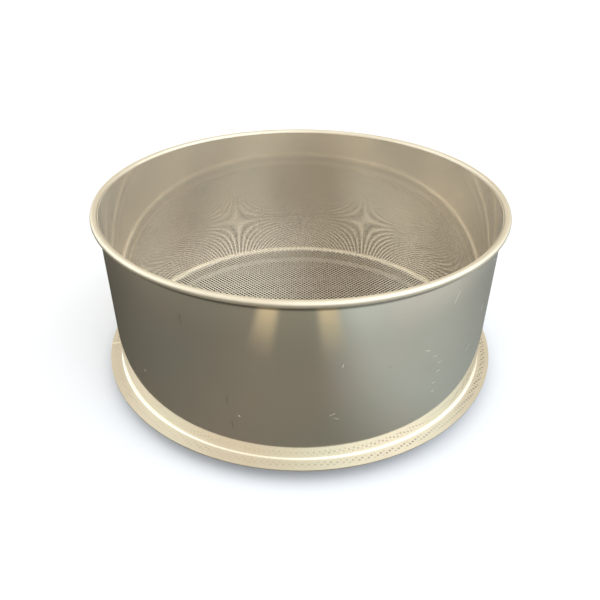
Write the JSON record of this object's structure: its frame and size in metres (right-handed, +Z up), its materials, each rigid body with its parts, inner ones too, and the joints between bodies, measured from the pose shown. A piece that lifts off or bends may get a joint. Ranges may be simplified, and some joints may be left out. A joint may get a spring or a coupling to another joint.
{
  "type": "soil sieve",
  "caption": "Round stainless-steel soil sieve: an open drum with a round bar welded at its rim, a flat foot flange and a perforated screen clamped across its foot.",
  "frame": {"origin": "centre of the circle that the base ring stands on", "axes": "+Z up along the drum's axis, towards its open mouth"},
  "size_m": [0.4265, 0.4266, 0.1867],
  "materials": {
    "drum_sheet": "satin",
    "flange_sheet": "satin",
    "rim_steel": "polished",
    "screen_sheet": "satin",
    "weld": "satin"
  },
  "bodies": {
    "root": {"drum_wall": "drum_sheet", "wall_seam_weld": "weld", "foot_flange": "flange_sheet", "flange_seam_weld": "weld", "foot_fillet_weld": "weld", "rim_bar": "rim_steel", "rim_joint_weld": "weld", "rim_fillet_weld": "weld", "screen": "screen_sheet", "base_ring": "flange_sheet", "base_ring_seam_weld": "weld"}
  },
  "joints": []
}
